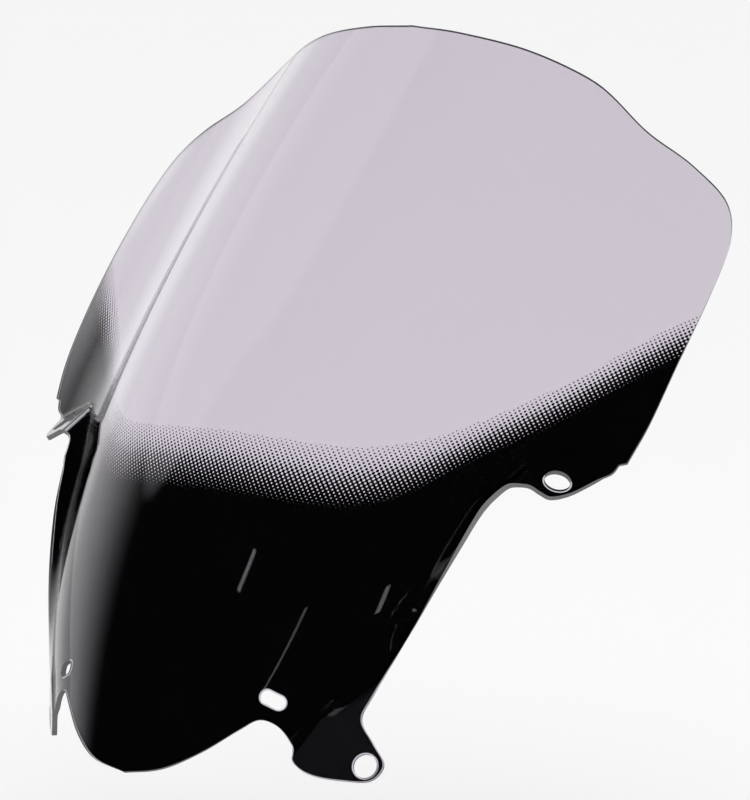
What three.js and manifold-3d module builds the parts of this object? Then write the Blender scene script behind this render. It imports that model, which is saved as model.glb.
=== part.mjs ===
// Motorcycle windshield screen: one formed tinted sheet with a black print behind its lower half.
// Millimetres, +Z up, -Y towards the front of the machine, X across it. Both sides are mirror images.
// The sheet is drawn as a front view in (x, z), trimmed there, and then pushed back to its formed depth.

import * as THREE from 'three';
import { mergeVertices } from 'three/addons/utils/BufferGeometryUtils.js';
import Module from 'manifold-3d';

const wasm = await Module();
wasm.setup();

// Sheet and print.
const SHEET = 3;
const PRINT = 0.3;
const PRINT_GAP = 0.4;
const PRINT_INSET = 2;

// Front view: middle of the top edge, middle of the nose edge, and half the width.
const TOP_Z = 222.5;
const NOSE_Z = -182.5;
const HALF_WIDTH = 216.5;

// Fold between the bowl and the lower flange, and between the bowl and the upper tab.
const FLANGE_FILLET = 3.5;
const TAB_FILLET = 4;

// Upper tab plane: the depth at its screw hole and its two slopes.
const TAB_HOLE = { x: 180.5, z: -20.8, r: 7.75 };
const TAB_DEPTH = -73.5;
const TAB_SLOPE_X = 1.25;
const TAB_SLOPE_Z = 2.3;

// Lower ear plane: upright, so it only has a slope across.
const EAR_HOLE = { x: 115, z: -179, r: 7 };
const EAR_DEPTH = -170;
const EAR_SLOPE_X = 1.16;
const EAR_TOP_Z = -150;

// Lower slots: centre, size and how far the outer end drops.
const SLOT = { x: 75, z: -139, length: 15.5, width: 8, tilt: 0.27 };

// Grid the sheet is formed on, as [from, to, cells] runs: close where it folds and holds the tabs.
const COLUMN_RUNS = [
  [0, 84, 5],
  [84, 128, 7],
  [128, 162, 4],
  [162, 206, 8],
  [206, 230, 2],
];
const ROW_RUNS = [
  [-215, -196, 1],
  [-196, -150, 8],
  [-150, -42, 9],
  [-42, -10, 8],
  [-10, 60, 5],
  [60, 240, 11],
];

// ---------- formed depth ----------

const beyond = (value) => Math.max(value, 0);

// Follows 0 up to -w, then t from +w, with a smooth run between.
function ramp(t, w) {
  if (t <= -w) return 0;
  if (t >= w) return t;
  return (t + w) ** 2 / (4 * w);
}

// Nearer (more forward) of two depths, rounded over where they cross.
function foldForward(a, b, size) {
  const overlap = beyond(size - Math.abs(a - b)) / size;
  return Math.min(a, b) - (overlap * overlap * size) / 4;
}

// Depth along the middle of the screen: steep at the nose, laid back above.
function middleLine(z) {
  return -151 + 0.636 * z + 7.6e-4 * z ** 2 + 9.4e-7 * z ** 3;
}

// The bowl: a rounded middle, a wrap to both sides, and a flare back outwards at the shoulders.
function bowl(across, z) {
  const height = z / 100;
  const wrap = 3.27 + 1.63 * height + 0.63 * height ** 2;
  const round = 260 + 76.6 * height;
  const power = 2.47;
  const section = wrap * ((across ** power + round ** power) ** (1 / power) - round);
  const flare = (1.29 + 0.158 * height) * ramp(across - (162.2 - 14 * height), 30);
  return middleLine(z) + section - flare;
}

// Where the bowl folds into the lower flange.
function foldLine(z) {
  return 146.5 + 0.088 * z - 0.00134 * z ** 2;
}

// The lower flange: the flat ear, turned out more and more towards the upper tab.
function flange(across, z) {
  const rise = beyond(z - EAR_TOP_Z);
  const edge = 164.3 + 0.3455 * z;
  const ear = EAR_DEPTH + EAR_SLOPE_X * (across - EAR_HOLE.x);
  const turnOut = 0.0013 * rise ** 2 + 0.016 * rise * (ramp(edge - across + 5, 5) - 5);
  const close = 0.05 * beyond(z + 38) ** 2 + 0.15 * beyond(foldLine(z) - 4 - across) ** 2;
  return ear + turnOut + close;
}

// The upper tab: a flat shelf that runs out at its inner end.
function tab(across, z) {
  const shelf = TAB_DEPTH + TAB_SLOPE_X * (across - TAB_HOLE.x) + TAB_SLOPE_Z * (z - TAB_HOLE.z);
  return shelf + 0.12 * beyond(168 - across) ** 2 + 0.08 * beyond(-30 - z) ** 2;
}

// Keeps the bowl clear behind the ear, so that the ear stays flat right up to its fold.
function earRelief(across, z) {
  return 0.004 * beyond(EAR_TOP_Z - z) * beyond(across - foldLine(z) - 5) ** 2;
}

function depth(x, z) {
  const across = Math.abs(x);
  const bowlBehind = bowl(across, z) + earRelief(across, z);
  const shell = foldForward(bowlBehind, flange(across, z), FLANGE_FILLET);
  return foldForward(shell, tab(across, z), TAB_FILLET);
}

// Unit vector out of the inner (rider's) face.
function inward(x, z) {
  const h = 0.05;
  const slopeX = (depth(x + h, z) - depth(x - h, z)) / (2 * h);
  const slopeZ = (depth(x, z + h) - depth(x, z - h)) / (2 * h);
  return new THREE.Vector3(-slopeX, 1, -slopeZ).normalize();
}

// A point of the sheet: x and z in the front view, and how far behind the outer face.
function formed(x, z, behind) {
  return new THREE.Vector3(x, depth(x, z), z).addScaledVector(inward(x, z), behind);
}

// ---------- front view ----------

// Smooth run through a few points of the +X half.
function smooth(points, steps) {
  const curve = new THREE.CatmullRomCurve3(
    points.map(([x, z]) => new THREE.Vector3(x, z, 0)),
    false,
    'centripetal',
  );
  return curve.getPoints(steps).map((p) => new THREE.Vector2(p.x, p.y));
}

// Top edge, shoulder and the long straight side, down to the corner above the tab.
const upperRun = smooth(
  [
    [0, TOP_Z],
    [34, 220],
    [76, 211],
    [112, 193.5],
    [149, 164.5],
    [181, 145.5],
    [204, 126],
    [213.7, 106],
    [HALF_WIDTH, 78],
    [HALF_WIDTH - 0.7, 40],
    [213.5, 8],
    [209, -12],
  ],
  30,
);

// Step, tab, lower side edge, ear, notch and nose.
const lowerRun = smooth(
  [
    [205, -13],
    [202.8, -17.5],
    [196, -21.5],
    [190.5, -26.8],
    [184.5, -28.2],
    [178, -25.6],
    [170, -22],
    [160, -22.2],
    [153, -31],
    [143.4, -65],
    [131, -105],
    [118, -138],
    [113.6, -152],
    [118, -166],
    [122, -179.5],
    [117, -187.6],
    [106, -186.6],
    [94, -182.2],
    [88, -175.5],
    [86, -165],
    [79, -154],
    [70.5, -150.3],
    [62, -155.5],
    [45, -168],
    [25, -178],
    [0, NOSE_Z],
  ],
  66,
);

const halfOutline = [...upperRun, ...lowerRun];

// Upper limit of the printed area, from the middle out past the side edge.
const printRun = smooth(
  [
    [0, 2.2],
    [30, 1.2],
    [60, -1],
    [84, -2.5],
    [102, -0.5],
    [120, 4],
    [160, 27.5],
    [204, 60],
    [236, 80],
  ],
  12,
);

// Moves every point of a closed outline inwards. The outline runs clockwise in (x, z).
function inset(points, distance) {
  const count = points.length;
  return points.map((point, i) => {
    const before = points[(i + count - 1) % count];
    const after = points[(i + 1) % count];
    const along = after.clone().sub(before).normalize();
    return point.clone().add(new THREE.Vector2(along.y, -along.x).multiplyScalar(distance));
  });
}

function mirrored(points) {
  return points
    .slice(1, -1)
    .reverse()
    .map((p) => new THREE.Vector2(-p.x, p.y));
}

const outline = [...halfOutline, ...mirrored(halfOutline)];

const printLimit = [
  ...printRun,
  new THREE.Vector2(236, NOSE_Z - 30),
  new THREE.Vector2(-236, NOSE_Z - 30),
  ...printRun
    .slice(1)
    .reverse()
    .map((p) => new THREE.Vector2(-p.x, p.y)),
];

// ---------- solids ----------

// A shallow dome keeps the grid's flat triangles apart while it is trimmed.
const dome = (x, z) => 3e-4 * (x * x + z * z);

function toManifold(geometry) {
  const bare = new THREE.BufferGeometry();
  bare.setAttribute('position', geometry.getAttribute('position').clone());
  if (geometry.index) bare.setIndex(geometry.index.clone());
  const welded = mergeVertices(bare, 1e-5);
  const mesh = new wasm.Mesh({
    numProp: 3,
    vertProperties: new Float32Array(welded.getAttribute('position').array),
    triVerts: new Uint32Array(welded.index.array),
  });
  return new wasm.Manifold(mesh);
}

function toGeometry(manifold) {
  const mesh = manifold.getMesh();
  const geometry = new THREE.BufferGeometry();
  geometry.setAttribute('position', new THREE.BufferAttribute(mesh.vertProperties, 3));
  geometry.setIndex(new THREE.BufferAttribute(mesh.triVerts, 1));
  return geometry;
}

// Straight prism on a front-view outline, deep enough for the domed plate.
function prism(points) {
  const shape = new THREE.Shape(points);
  const geometry = new THREE.ExtrudeGeometry(shape, { depth: 80, bevelEnabled: false });
  geometry.rotateX(Math.PI / 2);
  geometry.translate(0, 60, 0);
  return toManifold(geometry);
}

// Grid lines along one direction.
function gridLines(runs) {
  const lines = [runs[0][0]];
  for (const [from, to, cells] of runs) {
    for (let i = 1; i <= cells; i += 1) lines.push(from + ((to - from) * i) / cells);
  }
  return lines;
}

// Gridded flat plate one unit thick, on the dome. Both faces are split along the same diagonals,
// and the two halves mirror each other.
function plate() {
  const half = gridLines(COLUMN_RUNS);
  const across = [...half.slice(1).reverse().map((x) => -x), ...half];
  const up = gridLines(ROW_RUNS);
  const columns = across.length - 1;
  const rows = up.length - 1;
  const perFace = across.length * up.length;
  const points = [];
  for (const layer of [0, 1]) {
    for (const z of up) {
      for (const x of across) points.push(x, layer + dome(x, z), z);
    }
  }
  const faces = [];
  const triangle = (a, b, c) => {
    faces.push(a, b, c);
    faces.push(perFace + a, perFace + c, perFace + b);
  };
  const side = (a, b) => faces.push(b, a, perFace + a, b, perFace + a, perFace + b);
  const node = (column, row) => row * (columns + 1) + column;
  for (let row = 0; row < rows; row += 1) {
    for (let column = 0; column < columns; column += 1) {
      const corners = [node(column, row), node(column + 1, row), node(column + 1, row + 1), node(column, row + 1)];
      const [a, b, c, d] = column < columns / 2 ? corners : [...corners.slice(1), corners[0]];
      triangle(a, b, d);
      triangle(b, c, d);
    }
    side(node(0, row + 1), node(0, row));
    side(node(columns, row), node(columns, row + 1));
  }
  for (let column = 0; column < columns; column += 1) {
    side(node(column, 0), node(column + 1, 0));
    side(node(column + 1, rows), node(column, rows));
  }
  const geometry = new THREE.BufferGeometry();
  geometry.setAttribute('position', new THREE.Float32BufferAttribute(points, 3));
  geometry.setIndex(faces);
  return toManifold(geometry);
}

// Takes the dome off a trimmed plate and pushes it back to its formed depth, between two
// distances behind the outer face.
function form(trimmed, from, to) {
  const geometry = toGeometry(trimmed);
  const at = geometry.getAttribute('position');
  for (let i = 0; i < at.count; i += 1) {
    const x = at.getX(i);
    const z = at.getZ(i);
    const share = Math.min(Math.max(at.getY(i) - dome(x, z), 0), 1);
    const p = formed(x, z, from + share * (to - from));
    at.setXYZ(i, p.x, p.y, p.z);
  }
  return toManifold(geometry);
}

// Cutter set square to the sheet at a point, turned so that its own X keeps to the given tilt.
function squareTo(geometry, x, z, tilt) {
  const out = inward(x, z);
  const drop = -tilt * Math.sign(x);
  const run = new THREE.Vector3(1, 0, drop);
  run.addScaledVector(out, -run.dot(out)).normalize();
  const up = new THREE.Vector3().crossVectors(out, run);
  geometry.applyMatrix4(new THREE.Matrix4().makeBasis(run, up, out));
  const middle = formed(x, z, SHEET / 2);
  geometry.translate(middle.x, middle.y, middle.z);
  return toManifold(geometry);
}

function roundCutter(hole, side, extra) {
  const cutter = new THREE.CylinderGeometry(hole.r + extra, hole.r + extra, 16, 28);
  cutter.rotateX(Math.PI / 2);
  return squareTo(cutter, side * hole.x, hole.z, 0);
}

function slotCutter(side, extra) {
  const radius = SLOT.width / 2 + extra;
  const reach = SLOT.length / 2 - SLOT.width / 2;
  const shape = new THREE.Shape();
  shape.absarc(reach, 0, radius, -Math.PI / 2, Math.PI / 2, false);
  shape.absarc(-reach, 0, radius, Math.PI / 2, (3 * Math.PI) / 2, false);
  const cutter = new THREE.ExtrudeGeometry(shape, { depth: 16, bevelEnabled: false, curveSegments: 7 });
  cutter.translate(0, 0, -8);
  return squareTo(cutter, side * SLOT.x, SLOT.z, SLOT.tilt);
}

// Both tabs' and both ears' screw holes and both slots.
function openHoles(solid, extra) {
  let opened = solid;
  for (const side of [-1, 1]) {
    opened = opened.subtract(roundCutter(TAB_HOLE, side, extra));
    opened = opened.subtract(roundCutter(EAR_HOLE, side, extra));
    opened = opened.subtract(slotCutter(side, extra));
  }
  return opened;
}

// Puts the origin midway between the two ear holes, on the outer face's level.
function finished(name, manifold, material) {
  const geometry = toGeometry(manifold);
  geometry.translate(0, -EAR_DEPTH, -EAR_HOLE.z);
  const faceted = geometry.toNonIndexed();
  faceted.computeVertexNormals();
  const mesh = new THREE.Mesh(faceted, material);
  mesh.name = name;
  return mesh;
}

const blank = plate();
const trimmed = blank.intersect(prism(outline));
const sheet = openHoles(form(trimmed, 0, SHEET), 0);

// The print shares the sheet's grid, so the two stay the same distance apart everywhere.
const printFrom = SHEET + PRINT_GAP;
const printTo = printFrom + PRINT;
const printOutline = inset(outline, PRINT_INSET).filter((point, i) => i % 2 === 0);
const printArea = blank.intersect(prism(printOutline)).intersect(prism(printLimit));
const printCutter = form(printArea, printFrom - 4, printTo + 4);
const print = openHoles(form(trimmed, printFrom, printTo).intersect(printCutter), 1.5);

const tinted = new THREE.MeshStandardMaterial({
  color: 0xcfc9d1,
  roughness: 0.05,
  metalness: 0,
  transparent: true,
  opacity: 0.35,
});
const black = new THREE.MeshStandardMaterial({ color: 0x0a0a0a, roughness: 0.3, metalness: 0 });

const screen = new THREE.Group();
screen.name = 'windshield_screen';
screen.add(finished('screen_sheet', sheet, tinted));
screen.add(finished('mask_print', print, black));

export default screen;
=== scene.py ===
"""A formed motorcycle windshield screen: tinted sheet, black print with a dotted fade, soft studio.

Lengths in the shape formulas are millimetres in the screen's own front view (x across, z up).
The frame's origin lies midway between the ear holes: at x = 0, EAR_DEPTH and EAR_HOLE_Z there.
"""

import math

import bpy
import numpy as np
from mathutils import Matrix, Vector


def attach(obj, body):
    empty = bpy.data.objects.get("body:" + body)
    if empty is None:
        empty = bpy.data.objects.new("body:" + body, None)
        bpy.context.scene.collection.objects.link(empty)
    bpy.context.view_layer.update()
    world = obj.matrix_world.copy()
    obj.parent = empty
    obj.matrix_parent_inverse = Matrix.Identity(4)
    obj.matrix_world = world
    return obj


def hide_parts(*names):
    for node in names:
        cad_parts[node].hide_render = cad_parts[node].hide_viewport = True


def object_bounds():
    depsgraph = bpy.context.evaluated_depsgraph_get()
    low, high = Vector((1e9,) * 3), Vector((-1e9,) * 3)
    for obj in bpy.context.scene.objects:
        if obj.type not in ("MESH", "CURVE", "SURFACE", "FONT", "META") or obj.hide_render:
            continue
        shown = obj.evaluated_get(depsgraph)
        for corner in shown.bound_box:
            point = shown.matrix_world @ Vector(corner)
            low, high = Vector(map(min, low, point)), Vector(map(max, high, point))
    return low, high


bl_info = {
    "name": "Windshield screen",
    "version": (1, 0, 0),
    "blender": (4, 5, 0),
    "location": "3D View > Sidebar > Screen",
    "description": "Builds a formed, printed windshield screen and its studio",
    "category": "Add Mesh",
}

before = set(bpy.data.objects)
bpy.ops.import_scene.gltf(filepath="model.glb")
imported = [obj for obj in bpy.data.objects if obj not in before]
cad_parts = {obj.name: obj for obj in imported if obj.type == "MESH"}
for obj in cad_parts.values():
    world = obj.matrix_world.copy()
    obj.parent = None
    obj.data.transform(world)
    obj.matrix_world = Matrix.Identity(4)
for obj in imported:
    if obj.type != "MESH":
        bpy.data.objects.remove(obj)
CAD_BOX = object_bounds()
MM = 0.001

# Front view: middle of the top edge, middle of the nose edge, and half the width.
TOP_Z = 222.5
NOSE_Z = -182.5
HALF_WIDTH = 216.5

# Planes of the upper tab and the lower ear, and their screw holes.
TAB_HOLE = (180.5, -20.8, 7.75)
TAB_DEPTH = -73.5
TAB_SLOPE_X = 1.25
TAB_SLOPE_Z = 2.3
EAR_HOLE = (115.0, -179.0, 7.0)
EAR_DEPTH = -170.0
EAR_SLOPE_X = 1.16
EAR_TOP_Z = -150.0
EAR_HOLE_Z = EAR_HOLE[1]

# Lower slots: centre, size and how far the outer end drops.
SLOT_AT = (75.0, -139.0)
SLOT_LENGTH = 15.5
SLOT_WIDTH = 8.0
SLOT_TILT = 0.27

# Rounding where the flange and the tab fold out of the bowl.
FLANGE_FILLET = 3.5
TAB_FILLET = 4.0

# Heights of the dotted fade, in the middle and out at the sides, and the run between them.
FADE_MIDDLE = 34.0
FADE_SIDE = 24.5
FADE_TURN_X = 98.0
FADE_TURN_WIDTH = 42.0

# Where the fade's upper line ends, past the sheet, and how far its share is counted past 1.
FADE_END_X = 236.0
FADE_OVERRUN = 1.3

# Turn of the dots' lattice on the sheet, and where its two crossed waves, which run from -2 to 2,
# are cut at the top of the fade, how much lower at its bottom, and how sharply.
DOT_TURN = math.radians(36)
DOT_START = 1.6
DOT_RANGE = 3.8
DOT_SHARPNESS = 3.0

# Bare rim of the print round each hole.
INK_HOLE_RIM = 0.8

# The flat plate's margin past the outline, its lower end, and the print plate's margin above the
# fade. Cutters reach from below the plate's flat faces, which are at 0 and 1, to above them.
PLATE_MARGIN = 6.0
PLATE_BOTTOM = NOSE_Z - 14
PRINT_MARGIN = 4.0
CUTTER_LOW = -1.0
CUTTER_HIGH = 2.0

ACRYLIC_IOR = 1.49


# ---------- sizes and colours ----------


class ScreenSizes(bpy.types.PropertyGroup):
    """Sizes that a user may change without leaving the frame."""

    sheet: bpy.props.FloatProperty(
        name="Sheet", description="Thickness of the sheet", default=3 * MM, subtype="DISTANCE"
    )
    ink: bpy.props.FloatProperty(
        name="Ink", description="Thickness of the print", default=0.1 * MM, subtype="DISTANCE"
    )
    ink_gap: bpy.props.FloatProperty(
        name="Ink gap", description="Gap between sheet and print", default=0.03 * MM, subtype="DISTANCE"
    )
    ink_inset: bpy.props.FloatProperty(
        name="Ink inset", description="Bare rim round the print", default=0.3 * MM, subtype="DISTANCE"
    )
    dot_pitch: bpy.props.FloatProperty(
        name="Dot pitch", description="Spacing of the fade's dots", default=2.4 * MM, subtype="DISTANCE"
    )
    cell: bpy.props.FloatProperty(
        name="Cell", description="Grid cell of the formed meshes", default=2.1 * MM, subtype="DISTANCE"
    )


class ScreenColours(bpy.types.PropertyGroup):
    """Colours of the sheet, its cut edge, the print and the floor."""

    tint: bpy.props.FloatVectorProperty(
        name="Tint", description="Tint of the sheet", default=(0.70, 0.65, 0.73), subtype="COLOR"
    )
    edge: bpy.props.FloatVectorProperty(
        name="Cut edge", description="Sawn and flamed edge", default=(0.2, 0.2, 0.21), subtype="COLOR"
    )
    ink: bpy.props.FloatVectorProperty(
        name="Ink", description="Black print", default=(0.004, 0.004, 0.0045), subtype="COLOR"
    )
    floor: bpy.props.FloatVectorProperty(
        name="Floor", description="Studio floor", default=(0.97, 0.97, 0.97), subtype="COLOR"
    )


# ---------- formed depth ----------


def beyond(value):
    """The value where it is positive, otherwise 0."""
    return np.maximum(value, 0.0)


def ramp(t, width):
    """Follows 0 up to -width, then t from +width, with a smooth run between."""
    blend = (t + width) ** 2 / (4 * width)
    return np.where(t <= -width, 0.0, np.where(t >= width, t, blend))


def fold_forward(a, b, size):
    """Nearer of two depths, rounded over where they cross."""
    overlap = beyond(size - np.abs(a - b)) / size
    return np.minimum(a, b) - overlap * overlap * size / 4


def middle_line(z):
    """Depth of the screen's middle, a gentle S from nose to top."""
    return -151 + 0.636 * z + 7.6e-4 * z**2 + 9.4e-7 * z**3


def bowl(across, z):
    """Rounded middle, a wrap to both sides, and a flare back outwards at the shoulders."""
    height = z / 100
    wrap = 3.27 + 1.63 * height + 0.63 * height**2
    round_over = 260 + 76.6 * height
    power = 2.47
    section = wrap * ((across**power + round_over**power) ** (1 / power) - round_over)
    flare_start = 162.2 - 14 * height
    flare_rounding = 30
    flare = (1.29 + 0.158 * height) * ramp(across - flare_start, flare_rounding)
    return middle_line(z) + section - flare


def fold_line(z):
    """How far from the middle the bowl ends and the flange begins."""
    return 146.5 + 0.088 * z - 0.00134 * z**2


def flange(across, z):
    """The flat ear, turned out more and more towards the upper tab."""
    rise = beyond(z - EAR_TOP_Z)
    edge = 164.3 + 0.3455 * z
    ear = EAR_DEPTH + EAR_SLOPE_X * (across - EAR_HOLE[0])
    turn_out = 0.0013 * rise**2 + 0.016 * rise * (ramp(edge - across + 5, 5) - 5)
    close = 0.05 * beyond(z + 38) ** 2 + 0.15 * beyond(fold_line(z) - 4 - across) ** 2
    return ear + turn_out + close


def tab(across, z):
    """The flat shelf under the shoulder, curled in at its inner and lower ends."""
    shelf = TAB_DEPTH + TAB_SLOPE_X * (across - TAB_HOLE[0]) + TAB_SLOPE_Z * (z - TAB_HOLE[1])
    return shelf + 0.12 * beyond(168 - across) ** 2 + 0.08 * beyond(-30 - z) ** 2


def depth(x, z):
    across = np.abs(x)
    relief = 0.004 * beyond(EAR_TOP_Z - z) * beyond(across - fold_line(z) - 5) ** 2
    shell = fold_forward(bowl(across, z) + relief, flange(across, z), FLANGE_FILLET)
    return fold_forward(shell, tab(across, z), TAB_FILLET)


def inward(x, z):
    """Unit vectors out of the rider's face."""
    h = 0.05
    slope_x = (depth(x + h, z) - depth(x - h, z)) / (2 * h)
    slope_z = (depth(x, z + h) - depth(x, z - h)) / (2 * h)
    normals = np.stack([-slope_x, np.ones_like(slope_x), -slope_z], axis=1)
    return normals / np.linalg.norm(normals, axis=1, keepdims=True)


# ---------- front view ----------


def smooth(points, steps):
    """Centripetal Catmull-Rom run through a few points."""
    p = [np.array(q, float) for q in points]
    p = [2 * p[0] - p[1], *p, 2 * p[-1] - p[-2]]
    spans = len(p) - 3
    run = []
    for i in range(steps + 1):
        at = min(i * spans / steps, spans - 1e-9)
        k = int(at)
        q = p[k : k + 4]
        t = [0.0]
        for a, b in zip(q, q[1:]):
            t.append(t[-1] + max(np.linalg.norm(b - a), 1e-9) ** 0.5)
        s = t[1] + (at - k) * (t[2] - t[1])
        level = q
        for reach in (1, 2):
            level = [
                ((t[j + reach] - s) * a + (s - t[j]) * b) / (t[j + reach] - t[j])
                for j, (a, b) in enumerate(zip(level, level[1:]))
            ]
        run.append(((t[2] - s) * level[0] + (s - t[1]) * level[1]) / (t[2] - t[1]))
    return run


UPPER_RUN = smooth(
    [
        (0, TOP_Z),
        (34, 220),
        (76, 211),
        (112, 193.5),
        (149, 164.5),
        (181, 145.5),
        (204, 126),
        (213.7, 106),
        (HALF_WIDTH, 78),
        (HALF_WIDTH - 0.7, 40),
        (213.5, 8),
        (209, -12),
    ],
    90,
)
LOWER_RUN = smooth(
    [
        (205, -13),
        (202.8, -17.5),
        (196, -21.5),
        (190.5, -26.8),
        (184.5, -28.2),
        (178, -25.6),
        (170, -22),
        (160, -22.2),
        (153, -31),
        (143.4, -65),
        (131, -105),
        (118, -138),
        (113.6, -152),
        (118, -166),
        (122, -179.5),
        (117, -187.6),
        (106, -186.6),
        (94, -182.2),
        (88, -175.5),
        (86, -165),
        (79, -154),
        (70.5, -150.3),
        (62, -155.5),
        (45, -168),
        (25, -178),
        (0, NOSE_Z),
    ],
    150,
)
FADE_TOP = smooth(
    [
        (0, 2.2),
        (30, 1.2),
        (60, -1),
        (84, -2.5),
        (102, -0.5),
        (120, 4),
        (160, 27.5),
        (204, 60),
        (FADE_END_X, 80),
    ],
    60,
)


def outline():
    """Closed front-view outline, clockwise in (x, z)."""
    half = [*UPPER_RUN, *LOWER_RUN]
    return half + [np.array([-x, z]) for x, z in half[-2:0:-1]]


def inset(points, distance):
    """Every point of a clockwise outline moved inwards."""
    moved = []
    for i, point in enumerate(points):
        along = points[(i + 1) % len(points)] - points[i - 1]
        along = along / np.linalg.norm(along)
        moved.append(point + distance * np.array([along[1], -along[0]]))
    return moved


def fade_top(x):
    """Height of the fade's upper line."""
    run = np.array(FADE_TOP)
    return np.interp(np.abs(x), run[:, 0], run[:, 1])


def fade_height(x):
    """How far below its upper line the fade ends, eased from the middle to the side value."""
    share = np.clip((np.abs(x) - FADE_TURN_X) / FADE_TURN_WIDTH, 0, 1)
    return FADE_MIDDLE + (FADE_SIDE - FADE_MIDDLE) * share * share * (3 - 2 * share)


def square_hole(at, side, across, up, turn=0.0, steps=72):
    """Front view of a hole cut square to the sheet: a circle, or a slot where across exceeds up."""
    x, z = side * at[0], at[1]
    out = inward(np.array([x]), np.array([z]))[0]
    run = np.array([1.0, 0.0, -turn * side])
    run = run - run @ out * out
    run = run / np.linalg.norm(run)
    rise = np.cross(out, run)
    reach = across - up
    points = []
    for i in range(steps):
        angle = 2 * math.pi * (i + 0.5) / steps
        along = up * math.cos(angle) + reach * math.copysign(1, math.cos(angle))
        point = along * run + up * math.sin(angle) * rise
        points.append(np.array([x + point[0], z + point[2]]))
    return points


def holes(extra):
    """Front views of the tab and ear holes and the slots, on both sides."""
    cuts = []
    for side in (-1, 1):
        for x, z, radius in (TAB_HOLE, EAR_HOLE):
            cuts.append(square_hole((x, z), side, radius + extra, radius + extra))
        half_length = SLOT_LENGTH / 2 + extra
        cuts.append(square_hole(SLOT_AT, side, half_length, SLOT_WIDTH / 2 + extra, SLOT_TILT))
    return cuts


# ---------- modelling ----------


def add_cutter(name, points):
    """Prism on a front-view outline that reaches past the flat plate on both sides."""
    bpy.ops.object.select_all(action="DESELECT")
    bpy.ops.mesh.primitive_circle_add(vertices=len(points), radius=1, fill_type="NGON")
    cutter = bpy.context.object
    cutter.name = name
    for vertex, point in zip(cutter.data.vertices, points):
        vertex.co = (point[0], point[1], CUTTER_LOW)
    bpy.ops.object.mode_set(mode="EDIT")
    bpy.ops.mesh.select_all(action="SELECT")
    rise = CUTTER_HIGH - CUTTER_LOW
    bpy.ops.mesh.extrude_region_move(TRANSFORM_OT_translate={"value": (0, 0, rise)})
    bpy.ops.mesh.select_all(action="SELECT")
    bpy.ops.mesh.normals_make_consistent(inside=False)
    bpy.ops.object.mode_set(mode="OBJECT")
    return cutter


def add_flat_plate(name, cell, top):
    """Gridded plate one unit thick that covers the front view up to a height."""
    width = 2 * (HALF_WIDTH + PLATE_MARGIN)
    height = top - PLATE_BOTTOM
    bpy.ops.object.select_all(action="DESELECT")
    bpy.ops.mesh.primitive_grid_add(
        x_subdivisions=2 * math.ceil(width / cell / 2),
        y_subdivisions=math.ceil(height / cell),
        size=1,
    )
    plate = bpy.context.object
    plate.name = name
    plate.data.name = name
    bpy.ops.object.mode_set(mode="EDIT")
    bpy.ops.mesh.select_all(action="SELECT")
    bpy.ops.transform.resize(value=(width, height, 1))
    bpy.ops.transform.translate(value=(0, PLATE_BOTTOM + height / 2, 0))
    bpy.ops.mesh.extrude_region_move(TRANSFORM_OT_translate={"value": (0, 0, 1)})
    bpy.ops.mesh.select_all(action="SELECT")
    bpy.ops.mesh.normals_make_consistent(inside=False)
    bpy.ops.object.mode_set(mode="OBJECT")
    return plate


def trim(plate, cutter, operation):
    """Boolean a cutter into the plate and delete the cutter."""
    modifier = plate.modifiers.new("trim", "BOOLEAN")
    modifier.operation = operation
    modifier.solver = "EXACT"
    modifier.object = cutter
    bpy.context.view_layer.objects.active = plate
    bpy.ops.object.modifier_apply(modifier=modifier.name)
    if not plate.data.polygons:
        raise RuntimeError(cutter.name + " left nothing of " + plate.name)
    bpy.data.objects.remove(cutter)


def push_to_depth(piece, start, end):
    """Forms a trimmed plate: its flat Z from 0 to 1 becomes the distance behind the outer face.

    Z and Y trade places here, which turns the faces over, so they are flipped back. It gives the
    flat places, the shares of the thickness and the directions out of the rider's face.
    """
    mesh = piece.data
    flat = np.empty(len(mesh.vertices) * 3)
    mesh.vertices.foreach_get("co", flat)
    flat = flat.reshape(-1, 3)
    x, z = flat[:, 0], flat[:, 1]
    share = np.clip(flat[:, 2], 0, 1)
    out = inward(x, z)
    behind = (start + share * (end - start))[:, None]
    place = np.stack([x, depth(x, z), z], axis=1) + behind * out
    place -= np.array([0, EAR_DEPTH, EAR_HOLE_Z])
    mesh.vertices.foreach_set("co", (place * MM).ravel())
    mesh.flip_normals()
    mesh.update()
    return flat, share, out


def shade_formed(piece, share, out):
    """Smooth normals from the formed surface on both faces, and plain ones on the cut edge.

    The cut edge's faces take the piece's second material where it has one.
    """
    mesh = piece.data
    vertex_of = np.empty(len(mesh.loops), dtype=int)
    mesh.loops.foreach_get("vertex_index", vertex_of)
    starts = np.empty(len(mesh.polygons), dtype=int)
    totals = np.empty(len(mesh.polygons), dtype=int)
    mesh.polygons.foreach_get("loop_start", starts)
    mesh.polygons.foreach_get("loop_total", totals)
    loop_share = share[vertex_of]
    low = np.minimum.reduceat(loop_share, starts)
    high = np.maximum.reduceat(loop_share, starts)
    is_edge = high - low > 0.5
    normals = out[vertex_of] * np.where(loop_share > 0.5, 1, -1)[:, None]
    on_edge = np.repeat(is_edge, totals)
    plain = np.array([polygon.normal for polygon in mesh.polygons])
    normals[on_edge] = np.repeat(plain, totals, axis=0)[on_edge]
    mesh.polygons.foreach_set("use_smooth", np.ones(len(mesh.polygons), dtype=bool))
    mesh.polygons.foreach_set("material_index", is_edge.astype(int) * (len(mesh.materials) - 1))
    mesh.normals_split_custom_set(normals.tolist())
    mesh.update()


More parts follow.
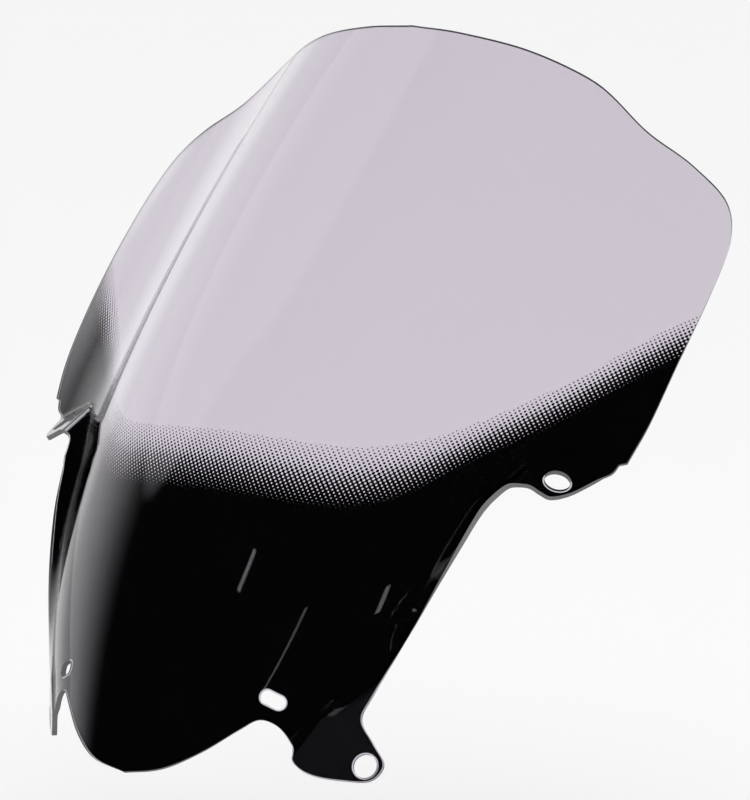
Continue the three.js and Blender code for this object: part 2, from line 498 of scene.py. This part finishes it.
def arc_lengths(x, z, along_x):
    """Distance over the formed surface from the line x = 0, or from z = 0, per vertex."""
    steps = 48
    h = 0.5
    steepest = 3
    total = np.zeros_like(x)
    span = x if along_x else z
    for i in range(steps):
        at = span * (i + 0.5) / steps
        if along_x:
            slope = (depth(at + h, z) - depth(at - h, z)) / (2 * h)
        else:
            slope = (depth(x, at + h) - depth(x, at - h)) / (2 * h)
        total += np.sqrt(1 + np.minimum(slope**2, steepest**2)) * span / steps
    return total


def mark_fade(ink, x, z):
    """Stores how far down the fade each vertex is: 0 at the top, 1 and more in solid ink."""
    share = np.clip((fade_top(x) - z) / fade_height(x), 0, FADE_OVERRUN)
    ink.data.attributes.new("fade", "FLOAT", "POINT").data.foreach_set("value", share)


def lay_dots(ink, x, z, pitch):
    """UV map that counts dots along and across a turned lattice over the formed surface."""
    along = arc_lengths(x, z, True) / pitch
    up = arc_lengths(x, z, False) / pitch
    row = along * math.cos(DOT_TURN) + up * math.sin(DOT_TURN)
    column = up * math.cos(DOT_TURN) - along * math.sin(DOT_TURN)
    vertex_of = np.empty(len(ink.data.loops), dtype=int)
    ink.data.loops.foreach_get("vertex_index", vertex_of)
    lattice = ink.data.uv_layers.new(name="dot_lattice")
    lattice.data.foreach_set("uv", np.stack([row, column], axis=1)[vertex_of].ravel())


def fade_outline():
    """Everything below the fade's upper line, clockwise in (x, z) as the outline is."""
    low = NOSE_Z - 30
    corners = [np.array([FADE_END_X, low]), np.array([-FADE_END_X, low])]
    return [*FADE_TOP, *corners, *[np.array([-x, z]) for x, z in FADE_TOP[:0:-1]]]


# ---------- materials ----------


def new_material(name):
    material = bpy.data.materials.new(name)
    material.use_nodes = True
    nodes = material.node_tree.nodes
    links = material.node_tree.links
    return material, nodes, links, nodes["Principled BSDF"]


def math_node(nodes, links, operation, *values, clamp=False):
    """A Math node on up to three inputs, each a number or an output socket."""
    node = nodes.new("ShaderNodeMath")
    node.operation = operation
    node.use_clamp = clamp
    for socket, value in zip(node.inputs, values):
        if isinstance(value, bpy.types.NodeSocket):
            links.new(value, socket)
        else:
            socket.default_value = value
    return node.outputs[0]


def two_tone_group():
    """Node group: a fine noise, as a value and as a colour between two tones."""
    group = bpy.data.node_groups.new("two_tone", "ShaderNodeTree")
    for name, kind in (
        ("Scale", "NodeSocketFloat"),
        ("Detail", "NodeSocketFloat"),
        ("Low tone", "NodeSocketColor"),
        ("High tone", "NodeSocketColor"),
    ):
        group.interface.new_socket(name, in_out="INPUT", socket_type=kind)
    group.interface.new_socket("Colour", in_out="OUTPUT", socket_type="NodeSocketColor")
    group.interface.new_socket("Value", in_out="OUTPUT", socket_type="NodeSocketFloat")
    nodes, links = group.nodes, group.links
    given = nodes.new("NodeGroupInput")
    result = nodes.new("NodeGroupOutput")
    coords = nodes.new("ShaderNodeTexCoord")
    noise = nodes.new("ShaderNodeTexNoise")
    tone = nodes.new("ShaderNodeMix")
    tone.data_type = "RGBA"
    links.new(coords.outputs["Object"], noise.inputs["Vector"])
    links.new(given.outputs["Scale"], noise.inputs["Scale"])
    links.new(given.outputs["Detail"], noise.inputs["Detail"])
    links.new(noise.outputs["Fac"], tone.inputs["Factor"])
    links.new(given.outputs["Low tone"], tone.inputs["A"])
    links.new(given.outputs["High tone"], tone.inputs["B"])
    links.new(tone.outputs["Result"], result.inputs["Colour"])
    links.new(noise.outputs["Fac"], result.inputs["Value"])
    return group


def add_two_tone(nodes, scale, detail=2.0, low=(0, 0, 0), high=(1, 1, 1)):
    """Places the shared two-tone noise in a material with its own values."""
    node = nodes.new("ShaderNodeGroup")
    node.node_tree = bpy.data.node_groups.get("two_tone") or two_tone_group()
    node.inputs["Scale"].default_value = scale
    node.inputs["Detail"].default_value = detail
    node.inputs["Low tone"].default_value = (*low, 1)
    node.inputs["High tone"].default_value = (*high, 1)
    return node


def scaled(colour, share):
    """A darker copy of a colour."""
    return [share * channel for channel in colour]


def tinted_acrylic(colours):
    """Polished smoked acrylic, with faint polishing haze, that lets tinted light through."""
    material, nodes, links, shader = new_material("tinted_acrylic")
    shader.inputs["Base Color"].default_value = (*colours.tint, 1)
    shader.inputs["IOR"].default_value = ACRYLIC_IOR
    shader.inputs["Transmission Weight"].default_value = 1.0
    haze = add_two_tone(nodes, scale=22, detail=3)
    roughest = 0.03
    rough = math_node(nodes, links, "MULTIPLY", haze.outputs["Value"], roughest)
    links.new(rough, shader.inputs["Roughness"])
    clear = nodes.new("ShaderNodeBsdfTransparent")
    clear.inputs["Color"].default_value = (*[math.sqrt(c) for c in colours.tint], 1)
    path = nodes.new("ShaderNodeLightPath")
    mix = nodes.new("ShaderNodeMixShader")
    links.new(path.outputs["Is Shadow Ray"], mix.inputs[0])
    links.new(shader.outputs[0], mix.inputs[1])
    links.new(clear.outputs[0], mix.inputs[2])
    links.new(mix.outputs[0], nodes["Material Output"].inputs["Surface"])
    return material


def cut_edge(colours):
    """Fine-sawn, lightly flamed edge of the sheet."""
    material, nodes, links, shader = new_material("cut_edge")
    grain = add_two_tone(nodes, scale=900, low=scaled(colours.edge, 0.75), high=colours.edge)
    links.new(grain.outputs["Colour"], shader.inputs["Base Color"])
    spread, smoothest = 0.2, 0.3
    rough = math_node(nodes, links, "MULTIPLY_ADD", grain.outputs["Value"], spread, smoothest)
    links.new(rough, shader.inputs["Roughness"])
    return material


def black_print(colours):
    """Matt black ink that breaks up into dots over its fade.

    Two crossed waves over the dot lattice peak at each dot's middle. Where they pass a limit that
    falls as the fade goes down, there is ink: small dots at the top, and small gaps at the bottom.
    """
    material, nodes, links, shader = new_material("black_print")
    shader.inputs["Specular IOR Level"].default_value = 0.0
    shader.inputs["Roughness"].default_value = 0.9
    mottle = add_two_tone(nodes, scale=60, low=colours.ink, high=scaled(colours.ink, 0.6))
    links.new(mottle.outputs["Colour"], shader.inputs["Base Color"])

    lattice = nodes.new("ShaderNodeUVMap")
    lattice.uv_map = "dot_lattice"
    parts = nodes.new("ShaderNodeSeparateXYZ")
    links.new(lattice.outputs["UV"], parts.inputs[0])
    waves = []
    for axis in ("X", "Y"):
        turn = math_node(nodes, links, "MULTIPLY", parts.outputs[axis], 2 * math.pi)
        waves.append(math_node(nodes, links, "COSINE", turn))
    spot = math_node(nodes, links, "ADD", *waves)
    fade = nodes.new("ShaderNodeAttribute")
    fade.attribute_name = "fade"
    limit = math_node(nodes, links, "MULTIPLY_ADD", fade.outputs["Fac"], -DOT_RANGE, DOT_START)
    above = math_node(nodes, links, "SUBTRACT", spot, limit)
    ink = math_node(nodes, links, "MULTIPLY_ADD", above, DOT_SHARPNESS, 0.5, clamp=True)
    links.new(ink, shader.inputs["Alpha"])
    return material


def floor_material(colours):
    """Pale paper with a very slight tooth."""
    material, nodes, links, shader = new_material("paper_floor")
    tooth = add_two_tone(nodes, scale=300, low=colours.floor, high=scaled(colours.floor, 0.985))
    links.new(tooth.outputs["Colour"], shader.inputs["Base Color"])
    shader.inputs["Roughness"].default_value = 0.8
    shader.inputs["Specular IOR Level"].default_value = 0.1
    return material


# ---------- studio ----------


# Places and sizes in the studio are metres in the frame.

# Brightness of the even white surroundings.
WHITE = 0.98

# The dark room that polished faces mirror, and its panels: direction, where the brightness starts
# and ends as closeness to that direction, and brightness.
ROOM_BRIGHTNESS = 0.006
WHITE_PANELS = (
    ((-0.906, 0.423, 0.0), 0.62, 0.99, 1.0),
    ((-0.766, 0.643, 0.0), 0.92, 0.99, 0.35),
    ((0.906, 0.423, 0.0), 0.72, 0.99, 0.6),
    ((-0.727, -0.095, 0.680), 0.944, 0.952, 0.5),
)

# The broad light: place, edge and watts.
KEY_AT = (1.6, -1.6, 2.4)
KEY_EDGE = 1.2
KEY_POWER = 12

# Narrow lights: name, azimuth and elevation, width and height in degrees, and radiance.
STRIPS = (
    ("strip_right", 50, 18, 1.0, 5, 1.3),
    ("strip_low", 57, 2, 3.0, 12, 0.5),
    ("strip_front", 26, 22, 0.9, 10, 0.8),
    ("strip_left", -13, 35.5, 1.3, 3.4, 2.0),
)

STRIP_DISTANCE = 2.5

# How far the floor lies below the screen, and its edge.
FLOOR_DROP = 0.12
FLOOR_SIZE = 30

# The camera looks at the front view's zero, from a distance along a bearing. Its lens and sensor
# are in millimetres.
LOOK_AT = Vector((0, -EAR_DEPTH * MM, -EAR_HOLE_Z * MM))
CAMERA_DISTANCE = 3.24
CAMERA_DIRECTION = Vector((0.5739, -0.8045, 0.1530))
CAMERA_LENS = 243
CAMERA_SENSOR = 36
CAMERA_REACH = 50


def add_panel_light(name, at, target, width, height, power):
    """A soft rectangular light that faces a point."""
    data = bpy.data.lights.new(name, "AREA")
    data.shape = "RECTANGLE"
    data.size = width
    data.size_y = height
    data.energy = power
    light = bpy.data.objects.new(name, data)
    bpy.context.collection.objects.link(light)
    light.location = at
    light.rotation_euler = (Vector(target) - Vector(at)).to_track_quat("-Z", "Y").to_euler()
    return light


def add_strip(name, azimuth, elevation, width, height, radiance):
    """A narrow light seen from the screen at the given bearing, with its size in degrees."""
    turn, rise = math.radians(azimuth), math.radians(elevation)
    way = Vector(
        (math.sin(turn) * math.cos(rise), -math.cos(turn) * math.cos(rise), math.sin(rise))
    )
    across = STRIP_DISTANCE * math.radians(width)
    along = STRIP_DISTANCE * math.radians(height)
    power = radiance * math.pi * across * along
    return add_panel_light(name, LOOK_AT + STRIP_DISTANCE * way, LOOK_AT, across, along, power)


def soft_patch(nodes, links, direction, start, end, strength):
    """Brightness that rises from start to end of closeness to a direction."""
    close = nodes.new("ShaderNodeVectorMath")
    close.operation = "DOT_PRODUCT"
    close.inputs[1].default_value = Vector(direction).normalized()
    links.new(nodes["Texture Coordinate"].outputs["Generated"], close.inputs[0])
    patch = nodes.new("ShaderNodeMapRange")
    patch.interpolation_type = "SMOOTHSTEP"
    patch.inputs["From Min"].default_value = start
    patch.inputs["From Max"].default_value = end
    patch.inputs["To Max"].default_value = strength
    links.new(close.outputs["Value"], patch.inputs["Value"])
    return patch.outputs["Result"]


def studio_world():
    """Even white surroundings; polished faces mirror a dark room with soft white panels in it."""
    world = bpy.data.worlds.new("studio")
    world.use_nodes = True
    nodes = world.node_tree.nodes
    links = world.node_tree.links
    nodes.new("ShaderNodeTexCoord")
    surround = nodes["Background"]
    surround.inputs["Color"].default_value = (WHITE, WHITE, WHITE, 1)
    path = nodes.new("ShaderNodeLightPath")
    mirrored = math_node(nodes, links, "GREATER_THAN", path.outputs["Glossy Depth"], 0.5)
    room = ROOM_BRIGHTNESS
    for panel in WHITE_PANELS:
        room = math_node(nodes, links, "ADD", soft_patch(nodes, links, *panel), room)
    dim = nodes.new("ShaderNodeBackground")
    links.new(room, dim.inputs["Strength"])
    mix = nodes.new("ShaderNodeMixShader")
    links.new(mirrored, mix.inputs[0])
    links.new(surround.outputs[0], mix.inputs[1])
    links.new(dim.outputs[0], mix.inputs[2])
    links.new(mix.outputs[0], nodes["World Output"].inputs["Surface"])
    bpy.context.scene.world = world


# ---------- operators ----------


class MESH_OT_windshield_sheet(bpy.types.Operator):
    """Trim a fine plate to the screen's front view, open its holes and form it"""

    bl_idname = "mesh.windshield_sheet"
    bl_label = "Screen sheet"

    def execute(self, context):
        sizes = context.scene.screen_sizes
        colours = context.scene.screen_colours
        sheet = add_flat_plate("formed_sheet", sizes.cell / MM, TOP_Z + PLATE_MARGIN)
        trim(sheet, add_cutter("outline_cutter", outline()), "INTERSECT")
        for points in holes(0):
            trim(sheet, add_cutter("hole_cutter", points), "DIFFERENCE")
        _, share, out = push_to_depth(sheet, 0, sizes.sheet / MM)
        sheet.data.materials.clear()
        sheet.data.materials.append(tinted_acrylic(colours))
        sheet.data.materials.append(cut_edge(colours))
        shade_formed(sheet, share, out)
        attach(sheet, "root")
        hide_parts("screen_sheet")
        return {"FINISHED"}


class MESH_OT_windshield_print(bpy.types.Operator):
    """Form the black print behind the sheet, with its dotted fade"""

    bl_idname = "mesh.windshield_print"
    bl_label = "Black print"

    def execute(self, context):
        sizes = context.scene.screen_sizes
        colours = context.scene.screen_colours
        top = float(fade_top(HALF_WIDTH)) + PRINT_MARGIN
        ink = add_flat_plate("formed_print", sizes.cell / MM, top)
        rim = inset(outline(), sizes.ink_inset / MM)
        trim(ink, add_cutter("rim_cutter", rim), "INTERSECT")
        trim(ink, add_cutter("fade_cutter", fade_outline()), "INTERSECT")
        for points in holes(INK_HOLE_RIM):
            trim(ink, add_cutter("hole_cutter", points), "DIFFERENCE")
        start = (sizes.sheet + sizes.ink_gap) / MM
        flat, share, out = push_to_depth(ink, start, start + sizes.ink / MM)
        x, z = flat[:, 0], flat[:, 1]
        mark_fade(ink, x, z)
        lay_dots(ink, x, z, sizes.dot_pitch / MM)
        ink.data.materials.clear()
        ink.data.materials.append(black_print(colours))
        shade_formed(ink, share, out)
        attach(ink, "root")
        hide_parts("mask_print")
        return {"FINISHED"}


class SCENE_OT_windshield_stage(bpy.types.Operator):
    """Set the floor, the lights, the surroundings and the camera"""

    bl_idname = "scene.windshield_stage"
    bl_label = "Studio"

    def execute(self, context):
        lowest = CAD_BOX[0][2]
        bpy.ops.object.select_all(action="DESELECT")
        bpy.ops.mesh.primitive_plane_add(size=FLOOR_SIZE, location=(0, 0, lowest - FLOOR_DROP))
        floor = context.object
        floor.name = "floor"
        floor.data.materials.append(floor_material(context.scene.screen_colours))
        floor.visible_glossy = False
        studio_world()
        key = add_panel_light("key", KEY_AT, LOOK_AT, KEY_EDGE, KEY_EDGE, KEY_POWER)
        key.visible_glossy = False
        key.visible_transmission = False
        for strip in STRIPS:
            add_strip(*strip)
        context.scene.view_settings.view_transform = "Standard"
        data = bpy.data.cameras.new("camera")
        data.lens = CAMERA_LENS
        data.sensor_width = CAMERA_SENSOR
        data.clip_end = CAMERA_REACH
        camera = bpy.data.objects.new("camera", data)
        context.collection.objects.link(camera)
        camera.location = LOOK_AT + CAMERA_DISTANCE * CAMERA_DIRECTION
        camera.rotation_euler = (-CAMERA_DIRECTION).to_track_quat("-Z", "Y").to_euler()
        context.scene.camera = camera
        return {"FINISHED"}


class VIEW3D_PT_windshield(bpy.types.Panel):
    """Shows the screen's sizes and colours, and buttons for the sheet, the print and the studio"""

    bl_idname = "VIEW3D_PT_windshield"
    bl_label = "Windshield screen"
    bl_space_type = "VIEW_3D"
    bl_region_type = "UI"
    bl_category = "Screen"

    def draw(self, context):
        for name in ("sheet", "ink", "ink_gap", "ink_inset", "dot_pitch", "cell"):
            self.layout.prop(context.scene.screen_sizes, name)
        for name in ("tint", "edge", "ink", "floor"):
            self.layout.prop(context.scene.screen_colours, name)
        for operator in OPERATORS:
            self.layout.operator(operator.bl_idname)


OPERATORS = (MESH_OT_windshield_sheet, MESH_OT_windshield_print, SCENE_OT_windshield_stage)
CLASSES = (ScreenSizes, ScreenColours, *OPERATORS, VIEW3D_PT_windshield)


def register():
    for cls in CLASSES:
        bpy.utils.register_class(cls)
    bpy.types.Scene.screen_sizes = bpy.props.PointerProperty(type=ScreenSizes)
    bpy.types.Scene.screen_colours = bpy.props.PointerProperty(type=ScreenColours)


def unregister():
    del bpy.types.Scene.screen_colours
    del bpy.types.Scene.screen_sizes
    for cls in reversed(CLASSES):
        bpy.utils.unregister_class(cls)


def main():
    register()
    bpy.ops.mesh.windshield_sheet()
    bpy.ops.mesh.windshield_print()
    bpy.ops.scene.windshield_stage()


if __name__ == "__main__":
    main()
